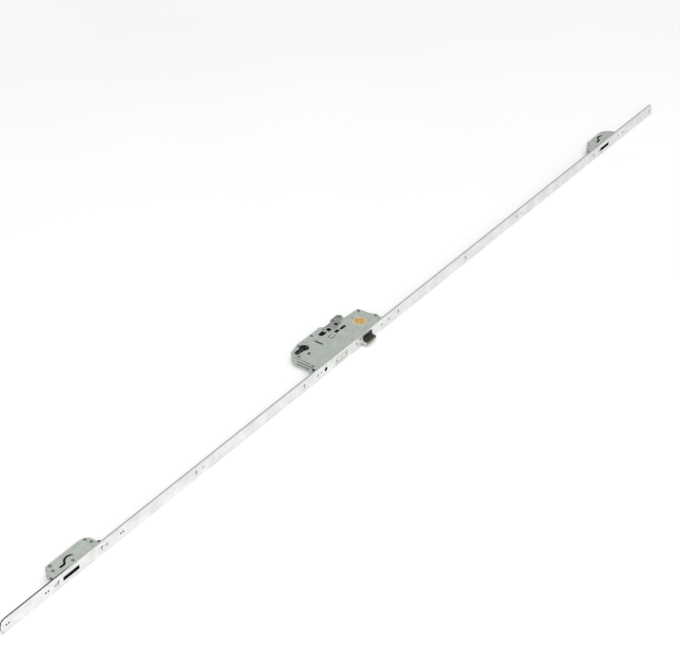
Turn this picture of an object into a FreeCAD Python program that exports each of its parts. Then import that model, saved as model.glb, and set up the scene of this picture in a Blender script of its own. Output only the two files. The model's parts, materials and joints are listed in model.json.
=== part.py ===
import FreeCAD, Part
import math
import os

# Three-point door lock, lying on its side. Millimetres.
# X runs along the faceplate towards the top of the door, Y points into the door,
# Z is the axis of the follower. The origin is the middle of the follower's square hole.
# Depths (f) are measured from the front of the faceplate into the door.

V = FreeCAD.Vector
os.makedirs("parts", exist_ok=True)

# Faceplate
faceplate_width = 24.0
faceplate_thick = 3.0
length_above = 1077.0
length_below = 871.0
end_flat = 1.5
end_radius = faceplate_width / 2 - end_flat
edge_chamfer = 0.5

# Positions that door hardware shares
backset = 60.0
cylinder_spacing = 72.0
spindle_square = 8.1
cylinder_hole_radius = 8.8
cylinder_slot_width = 10.4
cylinder_height = 33.4
cylinder_screw_drop = 19.5
cylinder_screw_radius = 4.0
handle_slot_length = 16.6
handle_slot_width = 9.6
handle_slot_centre = 18.4
handle_hole_centre = 21.5
handle_hole_radius = 3.8

# Clearances
slide_gap = 0.3
bolt_gap = 0.3
hole_gap = 0.3
shaft_gap = 0.05
layer_gap = 0.3
strip_gap = 0.6
rod_gap = 0.4
past = 1.0

# Sheet cases
case_thick = 16.0
sheet = 1.3
case_inner = case_thick / 2 - sheet
corner_small = 1.6
corner_round = 5.0

# Motions
latch_throw = 10.5
drive_travel = 18.0
deadbolt_throw = 16.0
hook_swing = 92.0

# Screws, studs and rivets
door_hole_radius = 2.3
door_sink_radius = 4.6
door_sink_depth = 2.2
pair_apart = 5.2
pair_radius = 1.7
case_screw_radius = 2.0
case_screw_head = 3.4
case_screw_sink = 1.8
case_screw_length = 7.5
screw_slot_width = 0.8
screw_slot_depth = 0.9
spare_hole_radius = 1.5
stud_radius = 2.8
stud_head_radius = 4.8
stud_head_thick = 1.2
rivet_radius = 2.2
rivet_head_radius = 3.0
rivet_head_thick = 0.35
bracket_rivet_radius = 1.5
foot_thick = 1.8
foot_flap = 7.0

# Layers inside the cases, from the floor upwards and from the cover downwards
drive_thick = 2.0
drive_bottom = -case_inner + layer_gap
drive_top = drive_bottom + drive_thick
cassette_thick = 1.8
cassette_room = 0.5
cassette_bottom = case_inner - cassette_room - cassette_thick
lever_thick = 2.5
lever_bottom = cassette_bottom - 0.2 - lever_thick
tail_thick = 2.5
tail_bottom = lever_bottom - rod_gap - tail_thick
bolt_tail_bottom = tail_bottom + 1.2
gear_top = bolt_tail_bottom - 0.8

# Slide bar and the strips behind the faceplate
strip_front = faceplate_thick + strip_gap
strip_width = 8.4
strip_back = strip_front + strip_width
rail_gap_depth = strip_back + 1.5
bar_front = 28.0
leg_width = 12.0
upper_leg_place = 66.0

# Rods behind the faceplate
rod_half_width = 5.5
rod_thick = 3.0
rod_front = faceplate_thick + rod_gap
lug_length = 16.0
lug_thick = 1.5
link_rivet_radius = 1.6
link_rivet_inset = 3.6
link_rivet_edge = 2.4

# Gear and rack
gear_module = 1.5
gear_teeth = 15
gear_radius = gear_module * gear_teeth / 2
gear_outer = gear_radius + gear_module
gear_root = gear_radius - 1.2 * gear_module
gear_from_cylinder = 26.5
gear_place = gear_from_cylinder - cylinder_spacing
gear_axle_radius = 3.0
rack_line = backset - gear_radius
rack_root = rack_line - 1.2 * gear_module
tooth_tip_gap = 0.25
rack_tip = rack_line + gear_module - tooth_tip_gap
rack_spine = 2.95
bar_back = rack_root - rack_spine
tooth_backlash = 0.35
tooth_sink = 0.6
tooth_lean = math.tan(math.radians(20.0))

# Deadbolt and its tail
bolt_width = 34.2
bolt_start = gear_place - 18.3
bolt_half_thick = case_inner - 0.7
bolt_inside = bar_front - 1.0
bolt_chamfer = 0.8
tail_seat = 5.0
bolt_tail_left = bolt_start + 6.8
bolt_tail_right = bolt_start + bolt_width - 0.2
drive_pin_radius = 2.5
drive_pin_depth = bar_front + 3.0
drive_pin_place = gear_place + 11.5
slant_slot_radius = drive_pin_radius + 0.25
guide_pin_radius = 1.6
guide_pin_depth = backset - 2.0
guide_pin_place = gear_place + 0.9
guide_pin_edge = 4.0
saw_pin_radius = 1.6
saw_pin_recess = 0.3
saw_pin_inset = 3.6
saw_pin_stop = 2.0

# Detent that holds the slide at both ends of its travel
detent_place = -6.0
detent_wire = 0.6
detent_post_apart = 8.0
detent_post_drop = 3.2
notch_half = 1.6
notch_depth = 1.1
notch_gap = 0.55
detent_shoulder = 1.2
detent_foot = 4.0

# Latch
latch_start = 14.2
latch_width = 29.0
latch_half_thick = case_inner - slide_gap
latch_reach = 9.6
latch_inside = 13.0
latch_tip_level = -0.8
latch_lip = 2.4
latch_hollow_depth = -2.2
latch_hollow_level = -0.2
latch_cheek = 2.5
latch_cheek_thin = 0.8
latch_insert_thick = 1.6
latch_tail_right = latch_start + 14.8
latch_rod_radius = 2.5
latch_rod_length = 34.0
latch_rod_seat = 6.0
latch_rod_place = latch_start + 20.8
latch_guide_front = 36.0
latch_guide_thick = 2.4
latch_guide_half = 6.6
lug_front = backset - 6.6
lug_back = backset - 3.1
lug_left = 11.2
tail_corner = 1.0

# Follower
hub_radius = 9.0
journal_radius = 8.0
lever_tip_radius = 2.0
latch_lever_reach = 13.6
latch_lever_angle = -42.0
spring_lever_reach = 14.0
spring_lever_angle = -114.0

# Springs and the pusher between the follower and its spring
latch_spring_radius = 3.6
latch_spring_wire = 1.0
latch_spring_turns = 7
follower_spring_radius = 1.8
follower_spring_wire = 0.7
follower_spring_turns = 6
spring_lift = (lever_bottom + case_inner) / 2 - 0.2
spring_depth = backset - 16.2
pusher_start = -3.0
pusher_end = 8.0
pusher_front = spring_depth - 2.1
pusher_back = spring_depth + 3.5
pusher_top = case_inner - 0.2
pusher_pocket = 4.6
pusher_pocket_depth = 2.2
pusher_wall = 1.2
pusher_stem_radius = 0.9
pusher_stem = 7.0
spring_seat_place = 28.0

# Hooks
hook_thick = 6.6
hook_bottom = -hook_thick / 2
pivot_depth = faceplate_thick + 7.3
pivot_radius = 3.0
pivot_boss = 6.6
hook_reach = 33.0
hook_neck = 11.0
hook_shoulder = 0.8
hook_claw = 6.3
hook_claw_depth = 10.5
hook_pin_radius = 2.5
hook_pin_wall = 2.8
hook_pin_play = 0.7
hook_slide_edge = 3.5
pin_neck_radius = 1.5
arc_knee_along = 4.3
arc_knee_down = 4.6
arc_tail_along = 8.5
arc_tail_radius = 2.1
hook_slot_half_width = hook_thick / 2 + slide_gap
hook_slot_radius = 0.5
hook_slot_length = 34.6
hook_slot_lip = 2.0
hook_crank = drive_travel / (2 * math.sin(math.radians(hook_swing / 2)))

# Where things sit along the faceplate
case_end = -cylinder_spacing - 32.0
case_end_above = 83.0
lower_slot_start = 129.0 - length_below
upper_slot_start = length_above - 221.5
door_holes = [lower_slot_start - 8.3, lower_slot_start + 86.2]
door_holes += [-435.1, -150.5, 1.1, 127.7, 348.4, 531.6]
door_holes += [upper_slot_start - 26.1, upper_slot_start + 95.2, length_above - 9.0]
door_pairs = [13.7 - length_below, lower_slot_start - 34.2, lower_slot_start + 129.2]
main_case_screws = [case_end - 10.5, case_end_above - 8.4, case_end_above + 13.8]
rod_studs = [-419.5, 545.5]
spare_hole = case_end - 0.5
foot_below = case_end - 16.0
foot_above = case_end_above + 20.0
lower_rod_end = foot_below - 2.0
upper_rod_end = foot_above + 19.0

# Grooves in the end wall and small windows of the cover
groove = 0.9
groove_wide = 1.8
groove_levels = (-4.6, 0.9)
long_window = (18.0, 43.0, 15.6, 5.6)
short_window = (-81.2, 43.5, 9.0, 5.0)
tongue_left = -21.5
tongue_right = -8.0
tongue_front = 38.5
tongue_back = 47.0
tongue_gap = 1.1
foot_gap = 4.0

# Rivets, studs and posts of the main case, as (x, depth)
main_rivets = [
    (case_end + 6.0, backset - 8.0),
    (-cylinder_spacing - 1.0, backset + 11.0),
    (gear_place + 10.5, backset + 11.0),
    (case_end - 3.5, faceplate_thick + 13.0),
    (case_end_above - 1.5, faceplate_thick + 15.5),
    (case_end_above - 7.0, backset - 10.0),
]
cassette_rivets = [(26.5, backset + 9.9), (43.0, backset + 8.4), (-7.5, backset + 9.8)]
bracket_rivets = [(latch_rod_place - 5.0, latch_guide_front + latch_guide_thick / 2),
                  (latch_rod_place + 5.0, latch_guide_front + latch_guide_thick / 2)]
slide_studs = [(-6.0, bar_front + 8.0), (56.0, bar_front + 8.0)]
detent_posts = [(detent_place - detent_post_apart, bar_front - detent_post_drop),
                (detent_place + detent_post_apart, bar_front - detent_post_drop)]

# Round sticker on the cover
label_radius = 12.5
label_thick = 0.15
label_place = 50.5
label_depth = 31.0
small_hole_radius = 1.4
small_hole_gap = 0.4


# Small shape helpers. Positions are (x, depth) pairs; depth turns into Y here.

def intoDoor(depth):
    return depth - backset


def block(x0, x1, f0, f1, z0, z1):
    return Part.makeBox(x1 - x0, f1 - f0, z1 - z0, V(x0, intoDoor(f0), z0))


def upright(x, f, radius, z0, z1):
    return Part.makeCylinder(radius, z1 - z0, V(x, intoDoor(f), z0))


def lengthwise(x, z, radius, f0, f1):
    return Part.makeCylinder(radius, f1 - f0, V(x, intoDoor(f0), z), V(0, 1, 0))


def roundedWire(corners, place):
    """Closed wire through corners (a, b, radius); place turns (a, b) into a point."""
    bends = []
    count = len(corners)
    for index in range(count):
        a, b, radius = corners[index]
        here = place(a, b)
        toLast = (place(*corners[index - 1][:2]) - here).normalize()
        toNext = (place(*corners[(index + 1) % count][:2]) - here).normalize()
        half = toLast.getAngle(toNext) / 2
        if radius == 0 or math.pi / 2 - half < 0.01:
            bends.append((here, None, here))
            continue
        reach = radius / math.tan(half)
        inward = (toLast + toNext).normalize()
        middle = here + inward * (radius / math.sin(half) - radius)
        bends.append((here + toLast * reach, middle, here + toNext * reach))
    edges = []
    for index in range(count):
        start, middle, end = bends[index]
        if middle is not None:
            edges.append(Part.Arc(start, middle, end).toShape())
        following = bends[(index + 1) % count][0]
        if (following - end).Length > 1e-6:
            edges.append(Part.makeLine(end, following))
    return Part.Wire(edges)


def flatPlate(corners, z0, z1):
    wire = roundedWire(corners, lambda x, f: V(x, intoDoor(f), z0))
    return Part.Face(wire).extrude(V(0, 0, z1 - z0))


def stadium(x, f, length, width, z0, z1):
    half = (length - width) / 2
    shape = block(x - half, x + half, f - width / 2, f + width / 2, z0, z1)
    shape = shape.fuse(upright(x - half, f, width / 2, z0, z1))
    return shape.fuse(upright(x + half, f, width / 2, z0, z1)).removeSplitter()


def slotBetween(x0, f0, x1, f1, radius, z0, z1):
    """Round-ended bar between two points, seen along Z."""
    along = V(x1 - x0, f1 - f0, 0)
    side = V(-along.y, along.x, 0).normalize() * radius
    corners = [
        (x0 + side.x, f0 + side.y, 0),
        (x0 - side.x, f0 - side.y, 0),
        (x1 - side.x, f1 - side.y, 0),
        (x1 + side.x, f1 + side.y, 0),
    ]
    bar = flatPlate(corners, z0, z1)
    bar = bar.fuse(upright(x0, f0, radius, z0, z1))
    return bar.fuse(upright(x1, f1, radius, z0, z1)).removeSplitter()


def rivet(x, f, radius, z0, z1):
    """Rivet between two sheets, with flat heads outside them."""
    shank = upright(x, f, radius, z0, z1)
    heads = upright(x, f, rivet_head_radius, z0 - rivet_head_thick, z0)
    heads = heads.fuse(upright(x, f, rivet_head_radius, z1, z1 + rivet_head_thick))
    return shank.fuse(heads).removeSplitter()


def countersunk(x):
    """Cut for a countersunk screw through the faceplate."""
    hole = lengthwise(x, 0, door_hole_radius, -past, faceplate_thick + past)
    sink = Part.makeCone(
        door_sink_radius, door_hole_radius, door_sink_depth, V(x, intoDoor(0), 0), V(0, 1, 0))
    return hole.fuse(sink)


def pairPlaces(x):
    return [x - pair_apart / 2, x + pair_apart / 2]


def caseScrew(x):
    """Countersunk screw from the faceplate into a foot, with a driver slot."""
    head = Part.makeCone(
        case_screw_head, case_screw_radius, case_screw_sink, V(x, intoDoor(0), 0), V(0, 1, 0))
    screw = head.fuse(lengthwise(x, 0, case_screw_radius, case_screw_sink, case_screw_length))
    half = case_screw_head + past
    return screw.cut(block(
        x - half, x + half, -past, screw_slot_depth, -screw_slot_width / 2, screw_slot_width / 2))


def caseScrewCut(x):
    cone = Part.makeCone(
        case_screw_head, case_screw_radius, case_screw_sink, V(x, intoDoor(0), 0), V(0, 1, 0))
    return cone.fuse(lengthwise(x, 0, case_screw_radius, case_screw_sink, case_screw_length + past))


def coil(start, axis, across, radius, wire, turns, length):
    """One unbroken coil spring: a tube along quarter turns, each of two tangent arcs."""
    side = axis.cross(across)
    pitch = length / turns
    rise = pitch / (2 * math.pi)

    def point(angle):
        return start + across * (radius * math.cos(angle)) + side * (radius * math.sin(angle)) \
            + axis * (rise * angle)

    def heading(angle):
        direction = across * (-radius * math.sin(angle)) + side * (radius * math.cos(angle))
        return (direction + axis * rise).normalize()

    def halfway(first, joint, direction):
        chord = joint - first
        bend = chord.getAngle(direction)
        corner = first + direction * (chord.Length / (2 * math.cos(bend)))
        middle = first + chord * 0.5
        return middle + (corner - middle).normalize() * (chord.Length / 2 * math.tan(bend / 2))

    edges = []
    for quarter in range(4 * turns):
        first = quarter * math.pi / 2
        last = first + math.pi / 2
        begin, end = point(first), point(last)
        out, back = heading(first), heading(last)
        chord = end - begin
        total = out + back
        bend = 2 * (1 - out.dot(back))
        reach = (math.sqrt(chord.dot(total) ** 2 + bend * chord.dot(chord)) - chord.dot(total)) / bend
        joint = (begin + out * reach + end - back * reach) * 0.5
        edges.append(Part.Arc(begin, halfway(begin, joint, out), joint).toShape())
        edges.append(Part.Arc(joint, halfway(end, joint, back * -1), end).toShape())
    circle = Part.Wire(Part.makeCircle(wire / 2, point(0), heading(0)))
    shape = Part.Wire(edges).makePipeShell([circle], True, False)
    print("coil of", turns, "turns: least gap", round(leastGap(edges, wire), 2), "mm")
    return shape


def leastGap(edges, wire):
    """Least gap between the turns of a coil, measured between points on its middle line."""
    shares = (0.0, 0.25, 0.5, 0.75)
    points = [edge.valueAt(edge.FirstParameter + share * (edge.LastParameter - edge.FirstParameter))
              for edge in edges for share in shares]
    half_turn = 4 * len(shares)
    apart = [(first - other).Length for index, first in enumerate(points)
             for other in points[index + half_turn:]]
    return min(apart) - wire


def save(name, shape):
    shape.exportStep("parts/" + name + ".step")
    print(name, len(shape.Solids), "solid, volume", round(shape.Volume))


def saveGroup(name, shapes):
    save(name, Part.makeCompound(shapes))


# Faceplate, its screws and its rod studs

def makeFaceplate():
    half = faceplate_width / 2
    corners = [
        (-length_below, -half, end_radius),
        (length_above, -half, end_radius),
        (length_above, half, end_radius),
        (-length_below, half, end_radius),
    ]
    wire = roundedWire(corners, lambda x, z: V(x, intoDoor(0), z))
    plate = Part.Face(wire).extrude(V(0, faceplate_thick, 0))
    front = [edge for edge in plate.Edges if abs(edge.BoundBox.YMax - intoDoor(0)) < 1e-4]
    plate = plate.makeChamfer(edge_chamfer, front)
    through = (-past, faceplate_thick + past)
    cuts = [countersunk(x) for x in door_holes]
    cuts += [lengthwise(x, 0, pair_radius, *through) for place in door_pairs for x in pairPlaces(place)]
    cuts += [caseScrewCut(x) for x in allCaseScrews()]
    cuts += [lengthwise(x, 0, stud_radius, *through) for x in rod_studs]
    cuts.append(lengthwise(spare_hole, 0, spare_hole_radius, *through))
    cylinder_screw_place = -cylinder_spacing - cylinder_screw_drop
    cuts.append(lengthwise(cylinder_screw_place, 0, cylinder_screw_radius, *through))
    latch_high = latch_half_thick + bolt_gap
    cuts.append(block(
        latch_start - bolt_gap, latch_start + latch_width + bolt_gap, *through,
        -latch_high, latch_high))
    bolt_high = bolt_half_thick + bolt_gap
    cuts.append(block(
        bolt_start - bolt_gap, bolt_start + bolt_width + bolt_gap, *through,
        -bolt_high, bolt_high))
    for start in (lower_slot_start, upper_slot_start):
        cuts.append(hookSlot(start))
    return plate.cut(cuts)


def hookSlot(start):
    corners = [
        (start, -hook_slot_half_width, hook_slot_radius),
        (start + hook_slot_length, -hook_slot_half_width, hook_slot_radius),
        (start + hook_slot_length, hook_slot_half_width, hook_slot_radius),
        (start, hook_slot_half_width, hook_slot_radius),
    ]
    wire = roundedWire(corners, lambda x, z: V(x, intoDoor(-past), z))
    return Part.Face(wire).extrude(V(0, faceplate_thick + 2 * past, 0))


def makeRodStud(x):
    shank = lengthwise(x, 0, stud_radius, 0, rod_front + rod_thick + layer_gap)
    top = rod_front + rod_thick + layer_gap
    return shank.fuse(lengthwise(x, 0, stud_head_radius, top, top + stud_head_thick)).removeSplitter()


# Sheet cases

def makeTray(corners, holes, back_openings=()):
    """Floor and walls bent from one sheet, open along the front and at both ends near it."""
    full = flatPlate(corners, -case_thick / 2, case_inner)
    base = Part.Face(roundedWire(corners, lambda x, f: V(x, intoDoor(f), -case_inner)))
    inside = base.makeOffset2D(-sheet).extrude(V(0, 0, case_thick))
    tray = full.cut(inside)
    left = min(corner[0] for corner in corners) - past
    right = max(corner[0] for corner in corners) + past
    tray = tray.cut(block(left, right, faceplate_thick - past, rail_gap_depth, -case_inner, case_thick))
    return tray.cut(list(holes) + list(back_openings)).removeSplitter()


def makeCover(corners, holes, feet, foot_cuts, flaps=()):
    """Flat sheet whose feet are bent down behind the faceplate, with flaps beyond its ends."""
    cover = flatPlate(corners, case_inner, case_thick / 2)
    foot_bottom = drive_top + layer_gap
    front = faceplate_thick
    cover = cover.cut(list(holes))
    for x0, x1 in feet:
        foot = block(x0, x1, front, front + foot_thick, foot_bottom, case_inner)
        seam = block(x0, x1, front, front + foot_thick, case_inner, case_thick / 2)
        cover = cover.fuse([foot, seam])
    for x0, x1 in flaps:
        cover = cover.fuse(block(x0, x1, front, front + foot_flap, case_inner, case_thick / 2))
    return cover.cut(foot_cuts).removeSplitter()


# Main case

def caseSide():
    """Corners shared by the tray and the cover below the follower."""
    back = backset + 15.5
    return [
        (case_end - 8.0, faceplate_thick, 0),
        (case_end - 8.0, faceplate_thick + 17.0, corner_small),
        (case_end, faceplate_thick + 20.0, corner_small),
        (case_end, backset - 3.0, corner_round),
        (case_end + 8.0, backset + 10.0, corner_round),
        (-cylinder_spacing + 3.0, back, corner_round),
        (-5.0, back, corner_small),
    ]


def caseSideAbove():
    """Corners shared by the tray and the cover above the follower."""
    return [
        (case_end_above - 40.0, backset - 1.8, 0),
        (case_end_above - 2.7, backset - 4.3, corner_small),
        (case_end_above - 1.5, backset - 15.0, 0),
        (case_end_above - 1.0, faceplate_thick + 26.0, 0),
        (case_end_above + 4.0, faceplate_thick + 17.5, corner_small),
        (case_end_above + 0.5, faceplate_thick + 7.0, 0),
        (case_end_above, faceplate_thick, 0),
    ]


def trayOutline():
    """The tray has an ear behind the follower, which the cover leaves free."""
    return caseSide() + [
        (1.0, backset + 10.3, corner_small),
        (18.5, backset + 10.3, 0),
        (23.5, backset + 14.5, corner_round),
        (45.0, backset + 15.3, corner_round),
        (49.5, backset + 8.0, corner_round),
    ] + caseSideAbove()


def coverOutline():
    return caseSide() + [
        (-3.8, backset + 9.5, 0),
        (-11.5, backset + 6.0, 3.0),
        (-12.2, backset - 7.5, corner_round),
        (1.0, backset - 10.4, 0),
        (10.0, backset - 10.4, 0),
        (29.0, backset - 6.5, corner_round),
        (32.0, backset - 2.4, corner_small),
    ] + caseSideAbove()


def cylinderCut():
    """Round and slot of the key cylinder's profile, right through the case."""
    low, high = -case_thick, case_thick
    circle = upright(-cylinder_spacing, backset, cylinder_hole_radius, low, high)
    end = -cylinder_spacing + cylinder_hole_radius - cylinder_height
    half = cylinder_slot_width / 2
    slot = block(end + half, -cylinder_spacing, backset - half, backset + half, low, high)
    return circle.fuse(slot).fuse(upright(end + half, backset, half, low, high))


def handleCuts():
    low, high = -case_thick, case_thick
    slot = stadium(-handle_slot_centre, backset, handle_slot_length, handle_slot_width, low, high)
    return [slot, upright(handle_hole_centre, backset, handle_hole_radius, low, high)]


def throughRivets(places):
    return [upright(x, f, rivet_radius, -case_thick, case_thick) for x, f in places]


def makeMainTray():
    cuts = [cylinderCut()] + handleCuts() + throughRivets(main_rivets + cassette_rivets)
    cuts.append(upright(0, backset, journal_radius + shaft_gap, -case_thick, case_thick))
    cuts.append(upright(gear_place, backset, gear_axle_radius, -case_thick, 0))
    cuts += [upright(x, f, stud_radius, -case_thick, 0) for x, f in slide_studs]
    cuts += [upright(x, f, rivet_radius, -case_thick, 0) for x, f in detent_posts]
    groove_front, groove_back = faceplate_thick + 22.0, backset - 8.0
    for level in groove_levels:
        cuts.append(block(
            case_end, case_end + groove, groove_front, groove_back, level, level + groove_wide))
    return makeTray(trayOutline(), cuts)


def makeMainCover():
    low, high = 0, case_thick
    cuts = [cylinderCut()] + throughRivets(main_rivets)
    cuts.append(handleCuts()[0])
    cuts.append(stadium(*long_window, low, high))
    cuts.append(stadium(*short_window, low, high))
    cuts.append(block(
        pusher_start + rod_gap, pusher_end - rod_gap, pusher_front - slide_gap,
        pusher_back + slide_gap, low, high))
    small_hole_depth = label_depth + label_radius + small_hole_gap + small_hole_radius
    cuts.append(upright(label_place, small_hole_depth, small_hole_radius, low, high))
    cuts.append(guideSlotCut())
    cuts.append(tongueCut())
    cuts += [upright(x, f, bracket_rivet_radius, low, high) for x, f in bracket_rivets]
    screws = [lengthwise(x, 0, case_screw_radius, 0, bar_front) for x in main_case_screws]
    screws.append(lengthwise(spare_hole, 0, spare_hole_radius, 0, bar_front))
    feet = [(foot_below, spare_hole + foot_gap), (case_end_above - 17.8, foot_above)]
    cover = makeCover(coverOutline(), cuts, feet, screws)
    seat_tab = block(
        spring_seat_place, spring_seat_place + sheet, spring_depth - 2.3, spring_depth + 2.4,
        lever_bottom, case_inner)
    return cover.fuse(seat_tab).removeSplitter()


def guideSlotCut():
    """Slot in the cover that the deadbolt's guide pin runs in."""
    radius = guide_pin_radius + hole_gap / 2
    return slotBetween(
        guide_pin_place, guide_pin_depth, guide_pin_place, guide_pin_depth - deadbolt_throw,
        radius, 0, case_thick)


def tongueCut():
    """Narrow U-shaped cut that frees a tongue of the cover."""
    outer = block(
        tongue_left, tongue_right, tongue_front, tongue_back, case_inner - sheet, case_thick)
    inner = block(
        tongue_left + tongue_gap, tongue_right + past, tongue_front + tongue_gap,
        tongue_back - tongue_gap, case_inner - 2 * sheet, 2 * case_thick)
    return outer.cut(inner)


def makeCassette():
    """Plate that carries the follower's upper journal and closes the ear."""
    corners = [
        (-12.0, backset + 9.5, 3.0),
        (-7.7, backset + 13.8, corner_small),
        (0.2, backset + 8.5, 0),
        (18.8, backset + 8.5, 0),
        (24.0, backset + 13.2, corner_round),
        (44.5, backset + 13.7, corner_round),
        (47.9, backset + 8.0, corner_round),
        (42.5, backset - 0.2, corner_small),
        (34.0, backset - 5.0, corner_round),
        (24.0, backset - 9.5, corner_round),
        (-12.0, backset - 9.5, corner_round),
    ]
    plate = flatPlate(corners, cassette_bottom, cassette_bottom + cassette_thick)
    cuts = [upright(0, backset, journal_radius + shaft_gap, 0, case_thick)]
    cuts += handleCuts()
    cuts += throughRivets(cassette_rivets)
    return plate.cut(cuts).removeSplitter()


# Follower and its return spring

def makeFollower():
    lever_top = lever_bottom + lever_thick
    cassette_top = cassette_bottom + cassette_thick
    hub = upright(0, backset, hub_radius, -case_inner + layer_gap, lever_top)
    journal = upright(0, backset, journal_radius, -case_thick / 2, cassette_top)
    follower = hub.fuse(journal)
    for reach, angle in (
            (latch_lever_reach, latch_lever_angle), (spring_lever_reach, spring_lever_angle)):
        tip_x = reach * math.cos(math.radians(angle))
        tip_f = backset + reach * math.sin(math.radians(angle))
        follower = follower.fuse(
            slotBetween(0, backset, tip_x, tip_f, lever_tip_radius, lever_bottom, lever_top))
    half = spindle_square / 2
    square = block(-half, half, backset - half, backset + half, -case_thick, case_thick)
    return follower.cut(square).removeSplitter()


def makePusher():
    """Block that the follower's second lever presses against the return spring."""
    body = block(pusher_start, pusher_end, pusher_front, pusher_back, lever_bottom, pusher_top)
    pocket = pusher_start + pusher_wall
    body = body.cut(block(
        pocket, pocket + pusher_pocket, spring_depth - pusher_pocket / 2,
        spring_depth + pusher_pocket / 2, pusher_top - pusher_pocket_depth, case_thick))
    stem_foot = V(pusher_end, intoDoor(spring_depth), spring_lift)
    stem = Part.makeCylinder(pusher_stem_radius, pusher_stem, stem_foot, V(1, 0, 0))
    return body.fuse(stem).removeSplitter()


def makeFollowerSpring():
    start = pusher_end + follower_spring_wire
    length = spring_seat_place - follower_spring_wire - start
    return coil(
        V(start, intoDoor(spring_depth), spring_lift), V(1, 0, 0), V(0, 1, 0),
        follower_spring_radius, follower_spring_wire, follower_spring_turns, length)


# Latch

def latchProfile(sink):
    """Side view of the latch head; the bevel lies sink deeper than the insert's surface."""
    top = latch_half_thick
    tip = latch_tip_level
    start = V(latch_start, intoDoor(sink - latch_lip), top)
    end = V(latch_start, intoDoor(-latch_reach), tip - sink)
    deeper = sink * 0.6
    lower = sink * 0.8
    middle = V(latch_start, intoDoor(latch_hollow_depth + deeper), latch_hollow_level - lower)
    bevel = Part.Arc(start, middle, end).toShape()
    foot = V(latch_start, intoDoor(-latch_reach), -top)
    rear_low = V(latch_start, intoDoor(latch_inside), -top)
    rear_high = V(latch_start, intoDoor(latch_inside), top)
    lines = [
        Part.makeLine(end, foot),
        Part.makeLine(foot, rear_low),
        Part.makeLine(rear_low, rear_high),
        Part.makeLine(rear_high, start),
    ]
    return Part.Face(Part.Wire([bevel] + lines)).extrude(V(latch_width, 0, 0))


def latchInsert():
    """The insert lies in the hollow, between two cheeks of the head."""
    low = -latch_half_thick - past
    span = block(
        latch_start + latch_cheek, latch_start + latch_width - latch_cheek_thin,
        -latch_reach - past, latch_inside, low, -low)
    return latchProfile(0).cut(latchProfile(latch_insert_thick)).common(span)


def makeLatchHead():
    tail_cut = block(
        latch_start, latch_tail_right, latch_inside - tail_seat, latch_inside,
        tail_bottom, tail_bottom + tail_thick)
    rod_cut = lengthwise(
        latch_rod_place, 0, latch_rod_radius, latch_inside - latch_rod_seat, latch_inside + past)
    return latchProfile(0).cut([latchInsert(), tail_cut, rod_cut])


def makeLatchInsert():
    return sorted(latchInsert().Solids, key=lambda solid: solid.Volume)[-1]


def makeLatchTail():
    top = tail_bottom + tail_thick
    notch_left = handle_hole_centre - handle_hole_radius - hole_gap
    notch_front = backset - handle_hole_radius - hole_gap - latch_throw
    corners = [
        (latch_start, latch_inside - tail_seat, 0),
        (latch_tail_right, latch_inside - tail_seat, 0),
        (latch_tail_right, notch_front, tail_corner),
        (notch_left, notch_front, tail_corner),
        (notch_left, lug_back, tail_corner),
        (hub_radius + 0.5, lug_back, tail_corner),
        (hub_radius + 0.5, backset - 20.0, tail_corner),
        (latch_start, backset - 24.0, tail_corner),
    ]
    tail = flatPlate(corners, tail_bottom, top)
    lug = block(
        lug_left, notch_left - rod_gap, lug_front, lug_back, top, lever_bottom + lever_thick)
    return tail.fuse(lug).removeSplitter()


def makeLatchRod():
    return lengthwise(
        latch_rod_place, 0, latch_rod_radius, latch_inside - latch_rod_seat,
        latch_inside - latch_rod_seat + latch_rod_length)


def makeLatchGuide():
    """Bracket under the cover that holds the latch rod and the back of the latch spring."""
    bottom = drive_top + layer_gap
    back = latch_guide_front + latch_guide_thick
    left, right = latch_rod_place - latch_guide_half, latch_rod_place + latch_guide_half
    bracket = block(left, right, latch_guide_front, back, bottom, case_inner)
    rod_hole = lengthwise(latch_rod_place, 0, latch_rod_radius + hole_gap, 0, backset)
    pins = [upright(x, f, bracket_rivet_radius, case_inner, case_thick / 2) for x, f in bracket_rivets]
    for pin in pins:
        bracket = bracket.fuse(pin)
    clear_tail = block(
        0, latch_tail_right + slide_gap, 0, backset, tail_bottom - slide_gap,
        tail_bottom + tail_thick + slide_gap)
    return bracket.cut([rod_hole, clear_tail]).removeSplitter()


def makeLatchSpring():
    seat = latch_spring_wire / 2 + slide_gap
    start = latch_inside + seat
    length = latch_guide_front - seat - start
    return coil(
        V(latch_rod_place, intoDoor(start), 0), V(0, 1, 0), V(1, 0, 0),
        latch_spring_radius, latch_spring_wire, latch_spring_turns, length)


# Deadbolt

def makeDeadbolt():
    right = bolt_start + bolt_width
    high = bolt_half_thick
    bolt = block(bolt_start, right, 0, bolt_inside, -high, high)
    front = [edge for edge in bolt.Edges if abs(edge.BoundBox.YMax - intoDoor(0)) < 1e-4]
    bolt = bolt.makeChamfer(bolt_chamfer, front)
    seat = block(
        bolt_tail_left, bolt_tail_right, bolt_inside - tail_seat, bolt_inside + past,
        bolt_tail_bottom, bolt_tail_bottom + tail_thick)
    stop = bolt_inside - tail_seat - saw_pin_stop
    pins = [lengthwise(x, 0, saw_pin_radius, -past, stop) for x in sawPins()]
    return bolt.cut([seat] + pins)


def sawPins():
    right = bolt_start + bolt_width
    return [bolt_start + saw_pin_inset, right - saw_pin_inset]


def makeSawPin(x):
    return lengthwise(x, 0, saw_pin_radius, saw_pin_recess, bolt_inside - tail_seat - saw_pin_stop)


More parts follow.
